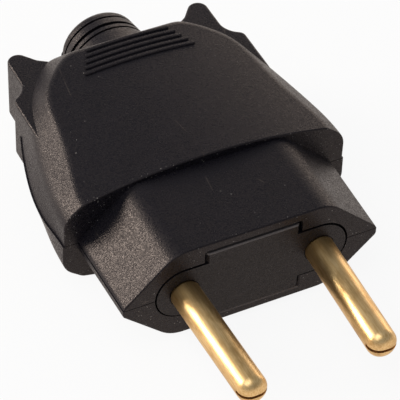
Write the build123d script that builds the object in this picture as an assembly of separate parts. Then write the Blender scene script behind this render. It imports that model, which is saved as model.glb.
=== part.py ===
from build123d import *
from math import pi
import os

# A rewireable two-pin mains plug. Millimetres, +Z up.
# The origin is the middle of the engagement face. The pins point to -Y, the cord outlet to +Y,
# and the two halves of the housing meet in the plane Z = 0.

# Pins
pin_spacing = 19.0
pin_radius = 2.0
pin_reach = 19.0
pin_toe_in = 1.87
pin_tip_flat = 0.35
pin_neck_radius = 1.6
pin_shoulder = 0.15
pin_shoulder_radius = 1.8
pin_seat_depth = 0.3
pin_mouth_clearance = 0.12
slit_width = 0.45
slit_depth = 1.9
collar_radius = 2.9
collar_length = 1.5
tenon_radius = 1.5
tenon_length = 4.0

# Nose of the housing, a flat hexagon with soft corners. For the upper and the lower half:
# half width, height of the upright band at the parting plane, half width of the flat, half height
nose_upper = (17.85, 0.35, 10.85, 7.15)
nose_lower = (17.95, 1.0, 11.3, 7.3)
nose_length = 13.3
nose_corner_radius = 4.5
nose_band_radius = 0.8
nose_draft = 1.2
nose_root = 1.0
face_edge_radius = 0.2

# Housing body behind the shoulder, an arched hump that leans in above the knee
crown_height = 8.6
crown_radius = 71.0
knee_height = 4.2
lean_top = 8.8
wall = 1.9
knee_radius = 3.4
crest_radius = 1.5
shoulder_edge_radius = 0.2
lower_overhang = 0.2
rear_wall = 42.8
corner_start = 30.0
rest_flat_depth = 0.2
rim_gap = 0.1

# Plan outlines of the body, half width and distance back, from the shoulder to the rear wall:
# at the parting plane, at the knee and where the flanks would reach their full height
foot_outline = (
    (20.05, nose_length),
    (20.4, 19.0),
    (19.0, 28.2),
    (17.2, 34.0),
    (15.2, 38.2),
    (12.6, 41.3),
    (8.8, rear_wall),
)
knee_outline = (
    (20.1, nose_length),
    (19.3, 20.0),
    (17.6, 28.0),
    (16.1, 33.6),
    (14.5, 37.3),
    (12.0, 40.8),
    (8.6, rear_wall),
)
lean_outline = (
    (14.6, nose_length),
    (13.7, 20.0),
    (13.2, 27.5),
    (12.9, 32.0),
    (11.3, 35.0),
    (9.2, 37.2),
    (6.6, 38.4),
)

# Finger grips, flat wings with a waved outline
grip_height = 4.7
grip_half_width = 17.1
grip_front = 26.0
grip_root = (8.6, 41.5)
grip_edge_radius = 0.4

# Corners of a grip's outline from its straight outer side round the step and the tip:
# distance in from the outer side, distance back, radius
grip_wave = (
    (0.0, 36.85, 1.1),
    (1.35, 37.75, 3.0),
    (2.2, 39.1, 3.0),
    (2.2, 48.0, 1.45),
    (6.1, 43.1, 2.0),
)

# Grip ridges across the top
ridge_count = 5
ridge_pitch = 1.02
ridge_first = 34.0
ridge_width = 0.6
ridge_height = 0.24
ridge_round = 0.18
ridge_half_length = 8.0
ridge_shortening = 0.5
ridge_root = 1.0

# Cord outlet, a ringed collar. Each groove: place, width and depth
outlet_end = 48.3
outlet_start = 40.5
outlet_root_radius = 6.4
outlet_end_radius = 5.35
outlet_round = 1.3
outlet_bore_radius = 3.5
outlet_grooves = ((43.5, 0.4, 0.35), (44.7, 0.65, 0.5), (46.4, 0.4, 0.3))

# Pin carrier, seen in the engagement face
carrier_end_radius = 3.85
carrier_middle_half_width = 6.6
carrier_middle_half_height = 5.75
carrier_corner_radius = 0.5
carrier_bevel = 0.4
carrier_gap = 0.25
carrier_drop = 0.1
lip_bevel = 0.2
tray_length = 9.8
tray_half_width = 14.4
tray_bottom = 4.6
tray_top = 3.0
tray_notch_width = 8.0
tray_notch_depth = 5.0
pin_hole_clearance = 0.02

# Terminal blocks and their screws
block_side = 6.2
block_length = 9.0
block_setback = 0.25
block_clearance = 0.1
wire_hole_radius = 1.6
wire_hole_depth = 4.8
terminal_screw_place = 5.6
terminal_screw_radius = 1.5
terminal_head_radius = 2.6
terminal_head_height = 1.8
screw_slot_width = 0.8
screw_slot_depth = 0.9
screw_head_round = 0.3

# Inside of the housing
chamber_start = 15.5
stop_rib_gap = 0.2
stop_rib_thickness = 1.5
stop_rib_window = (10.0, 3.4)
boss_radius = 3.3
boss_place = (12.0, 30.0)
peg_radius = 1.1
peg_height = 1.6
peg_root = 1.0
peg_clearance = 0.1
peg_place = (13.0, 42.2)
hole_end_gap = 0.3

# Screws that close the housing, from below
housing_screw_radius = 1.45
housing_screw_clearance = 0.15
housing_head_radius = 2.7
housing_head_height = 1.9
housing_head_seat = -5.4
housing_screw_tip = 5.2
housing_recess_radius = 3.0

# Cord clamp, a saddle bar on two posts
clamp_y = 34.6
clamp_length = 18.0
clamp_width = 5.0
clamp_height = 3.9
clamp_corner_radius = 1.2
clamp_throat_radius = 3.2
clamp_post_inset = 2.7
clamp_post_radius = 2.5
clamp_screw_radius = 1.3
clamp_screw_clearance = 0.1
clamp_head_radius = 2.2
clamp_head_height = 1.5
clamp_screw_length = 8.0
saddle_thickness = 1.6

# A length that reaches past the whole plug, for cutting bodies
past = 60.0
full_turn = 360.0

chamber_end = rear_wall - wall
block_front = chamber_start + block_setback
clamp_post_x = clamp_length / 2 - clamp_post_inset
tray_end = chamber_start + tray_length


def along_y(radius, start, end):
    """A round bar on the Y axis between two places."""
    return Pos(0, (start + end) / 2, 0) * Rot(90, 0, 0) * Cylinder(radius, end - start)


def crown(height):
    """Everything under an arched top of the given height."""
    return Pos(0, 0, height - crown_radius) * along_y(crown_radius, 0, past)


def body_level(outline, z, inset, grow):
    """The body's plan at one height, grown sideways or set in from the outside all round."""
    points = []
    for x, y in outline:
        turned = max(0.0, (y - corner_start) / (rear_wall - corner_start))
        points.append((x + grow - inset, y - inset * turned, z))
    right = Spline(*points, tangents=[(0, 1, 0), (-1, 0, 0)])
    left = mirror(right, Plane.YZ)
    return make_face([Line(left @ 0, right @ 0), right, Line(right @ 1, left @ 1), left])


def body(inset, grow):
    """The body's straight-sided form between its three outlines, under the arched top."""
    levels = [
        body_level(foot_outline, 0, inset, grow),
        body_level(knee_outline, knee_height - inset / 2, inset, grow),
        body_level(lean_outline, lean_top, inset, 0.0),
    ]
    return loft(levels, ruled=True) & crown(crown_height - inset)


def hump(grow):
    """The raised body of one half, with rounded knee and crest and a soft shoulder."""
    solid = body(0.0, grow)
    behind = solid.edges().filter_by(lambda e: e.center().Y > nose_length + 1.0)
    knee = behind.filter_by(lambda e: abs(e.center().Z - knee_height) < 0.01)
    solid = fillet(knee, knee_radius)
    behind = solid.edges().filter_by(lambda e: e.center().Y > nose_length + 1.0)
    crest = behind.filter_by(lambda e: e.center().Z > 6.5)
    solid = fillet(crest, crest_radius)
    shoulder = solid.edges().group_by(Axis.Y)[0].filter_by(lambda e: e.center().Z > 0.01)
    return fillet(shoulder, shoulder_edge_radius)


def nose_outline(sizes):
    """The hexagon of the engagement face, drawn in X and Z."""
    half_width, band, flat_half_width, half_height = sizes
    quarter = [(half_width, band), (flat_half_width, half_height)]
    corners = quarter + [(-x, z) for x, z in reversed(quarter)]
    corners += [(-x, -z) for x, z in quarter] + [(x, -z) for x, z in reversed(quarter)]
    face = Plane.XZ * make_face(Polyline(*corners, close=True))
    band_ends = face.vertices().filter_by(lambda v: abs(abs(v.Z) - band) < 0.01)
    face = fillet(band_ends, nose_band_radius)
    tops = face.vertices().filter_by(lambda v: abs(abs(v.X) - flat_half_width) < 0.01)
    return fillet(tops, nose_corner_radius)


def nose(sizes):
    """The nose, a little wider at the shoulder than at the face."""
    solid = extrude(nose_outline(sizes), nose_length + nose_root, dir=(0, 1, 0), taper=-nose_draft)
    front = solid.edges().group_by(Axis.Y)[0]
    return fillet(front, face_edge_radius)


def grip():
    """One finger grip of the upper half, on the +X side."""
    corners = [(grip_half_width - inset, y) for inset, y, radius in grip_wave]
    points = [(grip_half_width, grip_front), *corners, grip_root, (grip_root[0], grip_front)]
    face = make_face(Polyline(*points, close=True))
    for inset, y, radius in grip_wave:
        corner = face.vertices().sort_by_distance((grip_half_width - inset, y, 0))[0]
        face = fillet(corner, radius)
    solid = extrude(face, grip_height)
    top = solid.edges().group_by(Axis.Z)[-1]
    return fillet(top, grip_edge_radius)


def outlet_outside(grow):
    """The collar's outer form: a slight taper, three ring grooves and a rounded end."""
    root = outlet_root_radius + grow
    end = outlet_end_radius + grow
    profile = make_face(Polyline(
        (0, outlet_start), (root, outlet_start), (end, outlet_end), (0, outlet_end), close=True))
    rim = profile.vertices().sort_by_distance((end, outlet_end, 0))[0]
    solid = revolve(fillet(rim, outlet_round), Axis.Y)
    for place, width, depth in outlet_grooves:
        share = (place - outlet_start) / (outlet_end - outlet_start)
        surface = root + (end - root) * share
        front = place - width / 2
        back = place + width / 2
        solid -= along_y(surface + wall, front, back) - along_y(surface - depth, front, back)
    return solid


def above(height):
    """Everything above a level."""
    return Pos(0, 0, height + past) * Box(2 * past, 2 * past, 2 * past)


def outside_half(grow, nose_sizes, rim):
    """Outer form of one half of the housing. Its wings start at the parting plane, the rest at the rim."""
    wings = grip()
    wings += mirror(wings, Plane.YZ)
    return ((hump(grow) + nose(nose_sizes) + outlet_outside(grow)) & above(rim)) + wings


def chamber():
    """The wiring chamber of one half."""
    behind = Pos(0, chamber_start + past, 0) * Box(2 * past, 2 * past, 2 * past)
    return body(wall, 0.0) & behind


def carrier_outline(gap):
    """The carrier's outline: round ends about the pins and a taller middle."""
    round_height = 2 * (carrier_end_radius + gap)
    ends = SlotOverall(pin_spacing + round_height, round_height)
    middle = Rectangle(2 * (carrier_middle_half_width + gap), 2 * (carrier_middle_half_height + gap))
    outline = ends + middle
    between = (carrier_end_radius + carrier_middle_half_height) / 2
    corners = outline.vertices().filter_by(lambda v: abs(v.Y) > between)
    return Plane.XZ * fillet(corners, carrier_corner_radius)


def carrier_passage():
    """The way through the nose for the carrier."""
    return extrude(carrier_outline(carrier_gap), block_front, dir=(0, 1, 0))


def stop_rib(half):
    """A rib behind the carrier's tray, with a window in the middle for the wires."""
    y = tray_end + stop_rib_gap + stop_rib_thickness / 2
    window_half_width, window_height = stop_rib_window
    rib = Pos(0, y, 0) * Box(past, stop_rib_thickness, past)
    rib -= Pos(0, y, 0) * Box(2 * window_half_width, 2 * stop_rib_thickness, 2 * window_height)
    return rib & half


def pair(x, y, z, shape):
    """The same shape on both sides of the middle."""
    return Pos(x, y, z) * shape + Pos(-x, y, z) * shape


def bosses(half):
    """The screw bosses, full height inside the half."""
    return pair(*boss_place, past / 2, Cylinder(boss_radius, past)) & half


def shell_half(solid_half):
    """One hollow half with its rib, bosses and cord bore, above the parting plane."""
    bore = along_y(outlet_bore_radius, chamber_end - wall, outlet_end + wall)
    hollow = solid_half - chamber() - carrier_passage() - bore
    return hollow + stop_rib(chamber()) + bosses(chamber())


def ridge(index):
    """One raised bar with round edges across the top, following the crown."""
    y = ridge_first + index * ridge_pitch
    half_length = ridge_half_length - ridge_shortening * index
    section = RectangleRounded(ridge_width, ridge_height + ridge_root, ridge_round)
    section = Plane.YZ * Pos(y, crown_height + (ridge_height - ridge_root) / 2) * section
    middle = Axis((0, 0, crown_height - crown_radius), (0, 1, 0))
    bar = revolve(section, middle, full_turn * half_length / (2 * pi * crown_radius))
    return bar + mirror(bar, Plane.YZ)


def upper_shell():
    shell = shell_half(outside_half(0.0, nose_upper, rim_gap))
    for index in range(ridge_count):
        shell += ridge(index)
    pilot_depth = housing_screw_tip + hole_end_gap
    shell -= pair(*boss_place, pilot_depth / 2, Cylinder(housing_screw_radius, pilot_depth))
    socket_depth = peg_height + hole_end_gap
    shell -= pair(*peg_place, socket_depth / 2, Cylinder(peg_radius + peg_clearance, socket_depth))
    return shell


def clamp_posts(half):
    """Posts and saddle of the cord clamp, standing in the lower half before it is turned over."""
    posts = Pos(0, clamp_y, past / 2) * Box(2 * clamp_post_x, saddle_thickness, past)
    posts += pair(clamp_post_x, clamp_y, past / 2, Cylinder(clamp_post_radius, past))
    posts -= along_y(clamp_throat_radius, 0, past)
    return posts & half


def lower_shell():
    half = shell_half(outside_half(lower_overhang, nose_lower, 0.0)) + clamp_posts(chamber())
    lip_height = carrier_middle_half_height + carrier_gap
    lip = half.edges().group_by(Axis.Y)[0].filter_by(lambda e: abs(e.center().Z - lip_height) < 0.01)
    half = chamfer(lip, lip_bevel)
    shell = mirror(half, Plane.XY)
    bottom = -crown_height
    shell &= Pos(0, 0, bottom + rest_flat_depth + past) * Box(2 * past, 2 * past, 2 * past)
    clearance = Cylinder(housing_screw_radius + housing_screw_clearance, crown_height)
    shell -= pair(*boss_place, bottom / 2, clearance)
    recess_depth = housing_head_seat - bottom
    recess = Cylinder(housing_recess_radius, recess_depth)
    shell -= pair(*boss_place, bottom + recess_depth / 2, recess)
    peg = Cylinder(peg_radius, peg_height + peg_root)
    shell += pair(*peg_place, (peg_height - peg_root) / 2, peg)
    post_hole = clamp_screw_length - clamp_height + hole_end_gap
    shell -= pair(clamp_post_x, clamp_y, -post_hole / 2, Cylinder(clamp_screw_radius, post_hole))
    return shell


def pin_frame(side):
    """Where a pin stands: its axis turned in towards the middle at the tip."""
    return Pos(side * pin_spacing / 2, 0, -carrier_drop) * Rot(0, 0, -side * pin_toe_in)


def pin(side):
    """A solid turned pin: slit tip, shank, tapered shoulder, neck, stop collar and tenon."""
    body = along_y(pin_radius, -pin_reach, -pin_shoulder)
    tip = body.edges().group_by(Axis.Y)[0]
    body = fillet(tip, pin_radius - pin_tip_flat)
    taper = Cone(pin_radius, pin_shoulder_radius, pin_shoulder + pin_seat_depth)
    body += Pos(0, (pin_seat_depth - pin_shoulder) / 2, 0) * Rot(-90, 0, 0) * taper
    body += along_y(pin_neck_radius, pin_seat_depth, block_front)
    body += along_y(collar_radius, block_front - collar_length, block_front)
    body += along_y(tenon_radius, block_front, block_front + tenon_length)
    body -= Pos(0, -pin_reach, 0) * Box(3 * pin_radius, 2 * slit_depth, slit_width)
    return pin_frame(side) * body


def terminal_block(side):
    """A square block pressed on the pin's tenon, bored for the wire and for its screw."""
    rear = block_front + block_length
    block = Pos(0, block_front + block_length / 2, 0) * Box(block_side, block_length, block_side)
    block -= along_y(tenon_radius, block_front, block_front + tenon_length)
    block -= along_y(wire_hole_radius, rear - wire_hole_depth, rear)
    screw_hole = Cylinder(terminal_screw_radius, block_side / 2)
    block -= Pos(0, block_front + terminal_screw_place, block_side / 4) * screw_hole
    return pin_frame(side) * block


def slotted_screw(shank_radius, shank_length, head_radius, head_height):
    """A cheese-head screw pointing down, the underside of its head at Z = 0."""
    screw = Pos(0, 0, -shank_length / 2) * Cylinder(shank_radius, shank_length)
    head = Pos(0, 0, head_height / 2) * Cylinder(head_radius, head_height)
    head = fillet(head.edges().group_by(Axis.Z)[-1], screw_head_round)
    head -= Pos(0, 0, head_height) * Box(3 * head_radius, screw_slot_width, 2 * screw_slot_depth)
    return screw + head


def terminal_screw(side):
    seat = block_side / 2
    screw = slotted_screw(terminal_screw_radius, seat, terminal_head_radius, terminal_head_height)
    return pin_frame(side) * Pos(0, block_front + terminal_screw_place, seat) * screw


def carrier_front():
    """The part of the carrier that fills the nose, bevelled along its upper edge."""
    front = extrude(carrier_outline(0.0), block_front, dir=(0, 1, 0))
    rims = front.edges().group_by(Axis.Y)[0]
    top = rims.filter_by(lambda e: e.center().Z > carrier_middle_half_height - carrier_corner_radius)
    top = top.filter_by(lambda e: abs(e.center().X) < 0.01 or e.geom_type == GeomType.CIRCLE)
    return Pos(0, 0, -carrier_drop) * chamfer(top, carrier_bevel)


def pin_carrier():
    """The moulded carrier: front plug in the nose, tray with two pockets behind it."""
    tray_middle = chamber_start + tray_length / 2
    tray = Pos(0, tray_middle, (tray_top - tray_bottom) / 2) * Box(
        2 * tray_half_width, tray_length, tray_top + tray_bottom)
    body = carrier_front() + tray
    room = block_side + 2 * block_clearance
    pocket_height = room / 2 + past
    pocket = Pos(0, block_front + past / 2, (past - room / 2) / 2) * Box(room, past, pocket_height)
    hole = along_y(pin_neck_radius + pin_hole_clearance, -wall, block_front)
    seat = along_y(collar_radius + block_clearance, block_front - collar_length, block_front)
    mouth = along_y(pin_radius + pin_mouth_clearance, -wall, pin_seat_depth)
    for side in (-1, 1):
        body -= pin_frame(side) * (pocket + hole + seat + mouth)
    notch = Box(tray_notch_width, 2 * tray_notch_depth, 2 * tray_top)
    return body - Pos(0, tray_end, 0) * notch


def cord_clamp():
    """A saddle bar over the cord, screwed down to the two posts."""
    bar = Pos(0, clamp_y, clamp_height / 2) * Box(clamp_length, clamp_width, clamp_height)
    bar = fillet(bar.edges().filter_by(Axis.Z), clamp_corner_radius)
    bar -= along_y(clamp_throat_radius, 0, past)
    hole = Cylinder(clamp_screw_radius + clamp_screw_clearance, 2 * clamp_height)
    return bar - pair(clamp_post_x, clamp_y, clamp_height, hole)


def cord_clamp_screw(side):
    screw = slotted_screw(clamp_screw_radius, clamp_screw_length, clamp_head_radius, clamp_head_height)
    return Pos(side * clamp_post_x, clamp_y, clamp_height) * screw


def housing_screw(side):
    x, y = boss_place
    length = housing_screw_tip - housing_head_seat
    screw = slotted_screw(housing_screw_radius, length, housing_head_radius, housing_head_height)
    return Pos(side * x, y, housing_head_seat) * Rot(180, 0, 0) * screw


os.makedirs("parts", exist_ok=True)
pieces = {
    "upper_shell": upper_shell(),
    "lower_shell": lower_shell(),
    "pin_carrier": pin_carrier(),
    "cord_clamp": cord_clamp(),
}
for label, side in (("left", -1), ("right", 1)):
    pieces["pin_" + label] = pin(side)
    pieces["terminal_block_" + label] = terminal_block(side)
    pieces["terminal_screw_" + label] = terminal_screw(side)
    pieces["cord_clamp_screw_" + label] = cord_clamp_screw(side)
    pieces["housing_screw_" + label] = housing_screw(side)
for name, piece in pieces.items():
    export_step(piece, "parts/" + name + ".step")
    print(name, round(piece.volume, 1), len(piece.solids()))
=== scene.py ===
import math

import bpy
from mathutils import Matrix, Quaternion, Vector


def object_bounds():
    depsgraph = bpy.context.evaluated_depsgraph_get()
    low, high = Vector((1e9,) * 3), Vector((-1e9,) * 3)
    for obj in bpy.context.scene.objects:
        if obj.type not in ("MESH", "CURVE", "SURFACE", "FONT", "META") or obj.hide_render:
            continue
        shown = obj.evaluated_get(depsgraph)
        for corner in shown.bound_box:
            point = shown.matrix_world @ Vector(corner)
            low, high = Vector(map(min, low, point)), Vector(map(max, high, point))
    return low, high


# A black two-pin mains plug lying on a pale studio floor. Metres, the same frame as the solids:
# pins to -Y, cord outlet to +Y, the two halves of the housing meet at Z = 0.

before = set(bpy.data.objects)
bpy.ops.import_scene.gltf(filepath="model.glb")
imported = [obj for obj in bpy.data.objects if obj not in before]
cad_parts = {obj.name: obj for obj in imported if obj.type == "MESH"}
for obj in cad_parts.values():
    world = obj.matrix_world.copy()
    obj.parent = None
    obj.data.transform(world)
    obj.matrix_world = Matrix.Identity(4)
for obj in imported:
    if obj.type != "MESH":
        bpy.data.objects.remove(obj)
cad_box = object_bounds()

MM = 0.001

# Where the camera stands, from the perspective of the photograph
camera_aim = Vector((-0.586, 13.982, 0.0)) * MM
camera_distance = 311.7 * MM
camera_heading = math.radians(27.47)
camera_drop = math.radians(44.55)
camera_roll = math.radians(2.254)
camera_lens = 216.0
camera_nearest = 0.01

# Lengths in the finishes are millimetres on the plug, and turns are radians

# Edges that hold dust and painted glints: most of them nearer than the near distance, none past the far
# one
nose_length = 13.3
shoulder_edge = nose_length + 0.15
shoulder_near = 0.15
face_near = 0.2
edge_far = 0.5

# Bevelled lips across the engagement face, with a painted highlight line
lower_lip_height = -6.1
carrier_lip_height = 5.3
lip_near = 0.06
lip_far = 0.14
lip_half_width = 6.8
lip_depth = 0.3

# Moulded plastic and what lies on it
mould_grain = 0.135
mould_relief = 0.045
mottle_grain = 3.5
dust_spacing = 1.15
edge_dust_and_glint_spacing = 0.42
smallest_speck = 0.02
largest_speck = 0.08
largest_edge_speck = 0.075
scratch_spacing = 6.5
scratch_width = 0.03
scratch_stretch = (1.0, 6.0, 1.0)
scratch_turn = (0.0, 0.0, 0.9)
scratch_patch = 6.0

# Brass pins, drawn lengthwise: they darken from the first place back to the second
pin_streak = 0.22
pin_streak_stretch = (1.0, 14.0, 1.0)
pin_stain = 1.3
pin_stain_stretch = (1.0, 3.0, 1.0)
pin_stain_shift = 2.0
pin_root_from = -5.0
pin_root_to = 0.5
pin_relief = 0.003

# Turned metal of the blocks and screws
turning_mark = 0.3
turning_stretch = (1.0, 1.0, 4.0)
turning_relief = 0.004
haze_grain = 2.0

# The floor, how white it looks to the camera and in reflections, and the room's light
floor_gap = 0.02 * MM
floor_radius = 1.3
floor_wall = 0.3
floor_sides = 96
floor_seen = 0.91
floor_mirrored = 0.6
room_strength = 0.34


def rgb(red, green, blue):
    """A colour without transparency."""
    return (red, green, blue, 1.0)


white = rgb(1.0, 1.0, 1.0)
paper_white = rgb(0.86, 0.86, 0.86)
warm_white = rgb(1.0, 0.87, 0.78)
room_white = rgb(0.92, 0.95, 1.0)
scratch_grey = rgb(0.16, 0.13, 0.11)
# Lighter specks: dust, and painted glints along the edges
dust_and_glint_grey = rgb(0.32, 0.30, 0.28)
# Colour of the painted highlight along the bevelled lips
lip_highlight_grey = rgb(0.17, 0.15, 0.145)
light_gold = rgb(0.92, 0.66, 0.33)
deep_gold = rgb(0.74, 0.48, 0.20)
stain_brown = rgb(0.42, 0.25, 0.09)
root_brown = rgb(0.24, 0.14, 0.05)


class Value:
    """A socket of a shader, so that a pattern can be written as a sum."""

    def __init__(self, paint, socket):
        self.paint = paint
        self.socket = socket

    def join(self, operation, first, second):
        return self.paint.node("ShaderNodeMath", {"operation": operation}, {0: first, 1: second})

    def __add__(self, other):
        return self.join("ADD", self, other)

    def __radd__(self, other):
        return self.join("ADD", other, self)

    def __sub__(self, other):
        return self.join("SUBTRACT", self, other)

    def __rsub__(self, other):
        return self.join("SUBTRACT", other, self)

    def __mul__(self, other):
        return self.join("MULTIPLY", self, other)

    def __rmul__(self, other):
        return self.join("MULTIPLY", other, self)

    def __lt__(self, other):
        return self.join("LESS_THAN", self, other)

    def __gt__(self, other):
        return self.join("GREATER_THAN", self, other)

    def either(self, other):
        """The larger of two masks."""
        return self.join("MAXIMUM", self, other)

    def size(self):
        """The value without its sign."""
        return self.join("ABSOLUTE", self, 0.0)

    def ease(self, low, high):
        """0 below low, 1 above high and smooth between; falls instead where low is above high."""
        settings = {"interpolation_type": "SMOOTHSTEP"}
        if low < high:
            sockets = {"Value": self, "From Min": low, "From Max": high, "To Min": 0.0, "To Max": 1.0}
        else:
            sockets = {"Value": self, "From Min": high, "From Max": low, "To Min": 1.0, "To Max": 0.0}
        return self.paint.node("ShaderNodeMapRange", settings, sockets)


class Paint:
    """One material, with what its patterns share: millimetres on the plug and their parts."""

    def __init__(self, name):
        self.material = bpy.data.materials.new(name)
        self.material.use_nodes = True
        self.tree = self.material.node_tree
        self.tree.nodes.clear()

    def node(self, kind, settings, sockets, output=0):
        """A node with its settings and sockets, as the value of one of its outputs."""
        made = self.tree.nodes.new(kind)
        for name, setting in settings.items():
            setattr(made, name, setting)
        for name, value in sockets.items():
            if isinstance(value, Value):
                self.tree.links.new(value.socket, made.inputs[name])
            else:
                made.inputs[name].default_value = value
        return Value(self, made.outputs[output]) if made.outputs else None

    def place(self, stretch=(1.0, 1.0, 1.0), turn=(0.0, 0.0, 0.0)):
        """Millimetres on the plug, stretched along the axes for a drawn-out pattern."""
        spot = self.node("ShaderNodeTexCoord", {}, {}, "Object")
        scale = tuple(1.0 / (MM * s) for s in stretch)
        return self.node("ShaderNodeMapping", {}, {"Vector": spot, "Scale": scale, "Rotation": turn})

    def along(self, axis):
        """One coordinate in millimetres."""
        return self.node("ShaderNodeSeparateXYZ", {}, {"Vector": self.place()}, axis)

    def cloud(self, grain, detail=2.0, rough=0.5, **placed):
        """Soft noise with blotches of about this many millimetres."""
        where = self.place(**placed)
        sockets = {"Vector": where, "Scale": 1.0 / grain, "Detail": detail, "Roughness": rough}
        return self.node("ShaderNodeTexNoise", {}, sockets)

    def grains(self, spacing, channel="Red"):
        """One random value from 0 to 1 for each small cell."""
        where = {"Vector": self.place(), "Scale": 1.0 / spacing}
        cell = self.node("ShaderNodeTexVoronoi", {}, where, "Color")
        return self.node("ShaderNodeSeparateColor", {}, {"Color": cell}, channel)

    def dots(self, spacing, smallest, largest, chance):
        """Small round specks that lie about, some cells having none."""
        where = {"Vector": self.place(), "Scale": 1.0 / spacing}
        away = self.node("ShaderNodeTexVoronoi", {}, where, "Distance") * spacing
        lot = self.grains(spacing)
        other_lot = self.grains(spacing, "Green")
        radius = smallest + (largest - smallest) * other_lot
        return (away < radius) * (lot < chance)

    def hairlines(self, spacing, width, **placed):
        """Long thin lines, as scratches leave them."""
        where = {"Vector": self.place(**placed), "Scale": 1.0 / spacing}
        edge = self.node("ShaderNodeTexVoronoi", {"feature": "DISTANCE_TO_EDGE"}, where, "Distance")
        return edge < width / spacing

    def blend(self, share, first, second):
        """One colour over another."""
        return self.node("ShaderNodeMix", {"data_type": "RGBA"}, {0: share, 6: first, 7: second}, 2)

    def bump(self, height, depth):
        """A relief whose highest and lowest point differ by the depth in millimetres."""
        return self.node("ShaderNodeBump", {}, {"Height": height, "Distance": depth * MM})

    def surface(self, sockets):
        """The shader that shows, with its colours and patterns."""
        shader = self.node("ShaderNodeBsdfPrincipled", {}, sockets)
        self.node("ShaderNodeOutputMaterial", {}, {"Surface": shader})
        return self.material


def scratches(paint):
    """Fine scratches, here and there along the plug."""
    lines = paint.hairlines(scratch_spacing, scratch_width, stretch=scratch_stretch, turn=scratch_turn)
    return lines * paint.cloud(scratch_patch).ease(0.60, 0.66)


def specks(paint, dusty, edge_dust_and_glint_chance):
    """Dust all over, and more specks along the shoulder's edge and the engagement face, there partly dust
    and partly painted glints.
    """
    y = paint.along("Y")
    at_shoulder = (y - shoulder_edge).size().ease(edge_far, shoulder_near)
    at_face = y.ease(edge_far, face_near)
    dust = paint.dots(dust_spacing, smallest_speck, largest_speck, dusty)
    # Specks along the shoulder's edge and the engagement face: partly dust, partly painted glints
    edge_dust_and_glints = paint.dots(edge_dust_and_glint_spacing, smallest_speck, largest_edge_speck, edge_dust_and_glint_chance)
    return dust.either(edge_dust_and_glints * at_shoulder.either(at_face))


def painted_lip_highlight(paint, height):
    """A straight line across the engagement face at one height, painted as the highlight of a bevelled
    lip.
    """
    line = (paint.along("Z") - height).size().ease(lip_far, lip_near)
    return line * (paint.along("Y") < lip_depth) * (paint.along("X").size() < lip_half_width)


def moulded_plastic(name, black, sheen, roughness, dusty, edge_dust_and_glint_chance, lip_height):
    """Black moulded plastic: mould texture, uneven gloss, dust specks, painted glints along the edges,
    fine scratches and a painted highlight along a bevelled lip.
    """
    paint = Paint(name)
    mottle = paint.cloud(mottle_grain, detail=3.0)
    # Dust specks, joined by painted glints along the shoulder's edge and the engagement face
    dust = specks(paint, dusty, edge_dust_and_glint_chance)
    lighter_black = (1.5 * share for share in black)
    colour = paint.blend(mottle, rgb(*black), rgb(*lighter_black))
    colour = paint.blend(scratches(paint) * 0.25, colour, scratch_grey)
    # Lighter specks in the colour: dust, and painted glints along the edges
    colour = paint.blend(dust * 0.8, colour, dust_and_glint_grey)
    # Painted highlight along the bevelled lip of the engagement face
    colour = paint.blend(painted_lip_highlight(paint, lip_height) * 0.8, colour, lip_highlight_grey)
    sparkle = paint.grains(mould_grain) - 0.5
    relief = paint.cloud(1.3 * mould_grain, rough=0.6)
    return paint.surface({
        "Base Color": colour,
        "Roughness": roughness + 0.08 * mottle + 0.38 * sparkle + 0.25 * dust,
        "IOR": 1.5,
        "Specular IOR Level": 0.28,
        "Specular Tint": sheen,
        "Normal": paint.bump(relief, mould_relief),
    })


def pin_metal():
    """Satin brass drawn along the pin, with stains, and darker towards the root."""
    paint = Paint("satin_brass")
    streaks = paint.cloud(pin_streak, detail=3.0, rough=0.6, stretch=pin_streak_stretch)
    stains = paint.cloud(pin_stain, detail=4.0, rough=0.6, stretch=pin_stain_stretch)
    root = (paint.along("Y") + pin_stain_shift * stains).ease(pin_root_from, pin_root_to)
    colour = paint.blend(streaks.ease(0.35, 0.7), light_gold, deep_gold)
    colour = paint.blend(stains.ease(0.45, 0.7) * 0.6, colour, stain_brown)
    colour = paint.blend(root * 0.55, colour, root_brown)
    return paint.surface({
        "Base Color": colour,
        "Metallic": 1.0,
        "Roughness": 0.25 + 0.22 * stains + 0.12 * root,
        "Normal": paint.bump(streaks, pin_relief),
    })


def turned_metal(name, light, dark, roughness):
    """Plain machined metal for the terminals and screws inside."""
    paint = Paint(name)
    marks = paint.cloud(turning_mark, detail=3.0, rough=0.6, stretch=turning_stretch)
    haze = paint.cloud(haze_grain)
    return paint.surface({
        "Base Color": paint.blend(haze, light, dark),
        "Metallic": 1.0,
        "Roughness": roughness + 0.15 * marks,
        "Normal": paint.bump(marks, turning_relief),
    })


def housing_plastic():
    return moulded_plastic(
        "housing_plastic", black=(0.0052, 0.0050, 0.0078), sheen=rgb(1.0, 0.86, 0.80), roughness=0.33,
        dusty=0.35, edge_dust_and_glint_chance=0.5, lip_height=lower_lip_height)


def carrier_plastic():
    return moulded_plastic(
        "carrier_plastic", black=(0.0052, 0.0050, 0.0070), sheen=rgb(1.0, 0.90, 0.86), roughness=0.36,
        dusty=0.10, edge_dust_and_glint_chance=0.0, lip_height=carrier_lip_height)


def block_brass():
    return turned_metal("block_brass", rgb(0.72, 0.52, 0.22), rgb(0.58, 0.40, 0.16), roughness=0.28)


def zinc_steel():
    return turned_metal("zinc_steel", rgb(0.66, 0.66, 0.64), rgb(0.50, 0.50, 0.49), roughness=0.26)


def dress_pieces():
    """Each piece takes the finish that its material slot asks for."""
    finishes = {
        "black_plastic": housing_plastic(),
        "carrier_plastic": carrier_plastic(),
        "pin_brass": pin_metal(),
        "block_brass": block_brass(),
        "zinc_steel": zinc_steel(),
    }
    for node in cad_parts.values():
        for slot in node.material_slots:
            slot.material = finishes[slot.material.name]


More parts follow.
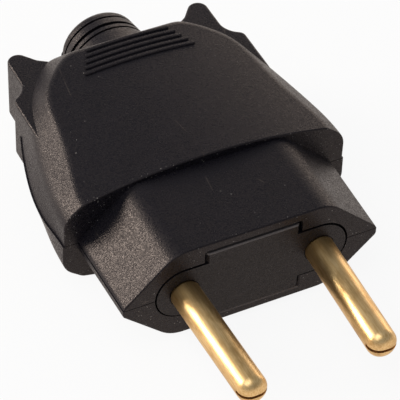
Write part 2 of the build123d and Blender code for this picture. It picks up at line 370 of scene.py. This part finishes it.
def floor_paint():
    """Pale paper that shows white to the camera and warmer in reflections, and keeps its shadow."""
    paint = Paint("pale_floor")
    direct = paint.node("ShaderNodeLightPath", {}, {}, "Is Camera Ray")
    glossy = paint.node("ShaderNodeLightPath", {}, {}, "Is Glossy Ray")
    through = paint.node("ShaderNodeLightPath", {}, {}, "Is Transmission Ray")
    share = (floor_seen * direct).either(floor_mirrored * glossy.either(through))
    paper = paint.node("ShaderNodeBsdfDiffuse", {}, {"Color": paper_white})
    tone = paint.blend(direct, warm_white, white)
    bright = paint.node("ShaderNodeEmission", {}, {"Color": tone, "Strength": 1.0})
    shown = paint.node("ShaderNodeMixShader", {}, {0: share, 1: paper, 2: bright})
    paint.node("ShaderNodeOutputMaterial", {}, {"Surface": shown})
    return paint.material


def studio_floor():
    """A round floor with a low upright rim."""
    bpy.ops.object.select_all(action="DESELECT")
    bpy.ops.mesh.primitive_circle_add(
        vertices=floor_sides, radius=floor_radius, fill_type="NGON",
        location=(0.0, 0.0, cad_box[0].z - floor_gap))
    floor = bpy.context.object
    floor.name = "floor"
    bpy.ops.object.mode_set(mode="EDIT")
    bpy.ops.mesh.select_all(action="DESELECT")
    bpy.ops.mesh.select_mode(type="EDGE")
    bpy.ops.mesh.select_non_manifold()
    bpy.ops.mesh.extrude_edges_move(TRANSFORM_OT_translate={"value": (0.0, 0.0, floor_wall)})
    bpy.ops.object.mode_set(mode="OBJECT")
    bpy.ops.object.transform_apply(location=True, rotation=False, scale=False)
    floor.data.materials.append(floor_paint())


def softbox(name, direction, distance, width, height, brightness, colour):
    """A flat lamp that faces the plug and stays out of the picture."""
    lamp = bpy.data.lights.new(name, "AREA")
    lamp.shape = "RECTANGLE"
    lamp.size = width
    lamp.size_y = height
    lamp.energy = brightness * math.pi * width * height
    lamp.color = colour
    stand = bpy.data.objects.new(name, lamp)
    bpy.context.scene.collection.objects.link(stand)
    towards = Vector(direction).normalized()
    stand.location = camera_aim + towards * distance
    stand.rotation_mode = "QUATERNION"
    stand.rotation_quaternion = (-towards).to_track_quat("-Z", "Y")
    stand.visible_camera = False


def studio_light():
    """A warm key from the rear left, a soft lamp overhead, a warm rim from the rear right, a pale room."""
    softbox("key", direction=(-0.70, 0.62, 0.33), distance=0.60, width=0.26, height=0.20,
            brightness=17.5, colour=(1.0, 0.90, 0.80))
    softbox("overhead", direction=(-0.50, -0.10, 1.0), distance=0.90, width=0.70, height=0.70,
            brightness=1.6, colour=(1.0, 1.0, 1.0))
    softbox("rim", direction=(0.70, 0.72, 0.24), distance=0.80, width=1.00, height=0.34,
            brightness=1.4, colour=(1.0, 0.82, 0.68))
    world = bpy.data.worlds.new("room")
    world.use_nodes = True
    room = world.node_tree.nodes["Background"]
    room.inputs["Color"].default_value = room_white
    room.inputs["Strength"].default_value = room_strength
    bpy.context.scene.world = world


def place_camera():
    """The photograph's viewpoint: from the front left and above, rolled a little."""
    view = Vector((
        math.sin(camera_heading) * math.cos(camera_drop),
        math.cos(camera_heading) * math.cos(camera_drop),
        -math.sin(camera_drop),
    ))
    eye = bpy.data.cameras.new("camera")
    eye.lens = camera_lens
    eye.clip_start = camera_nearest
    camera = bpy.data.objects.new("camera", eye)
    bpy.context.scene.collection.objects.link(camera)
    camera.location = camera_aim - view * camera_distance
    camera.rotation_mode = "QUATERNION"
    level = view.to_track_quat("-Z", "Y")
    camera.rotation_quaternion = level @ Quaternion((0.0, 0.0, 1.0), camera_roll)
    bpy.context.scene.camera = camera


dress_pieces()
place_camera()
studio_floor()
studio_light()
bpy.context.scene.view_settings.view_transform = "Standard"
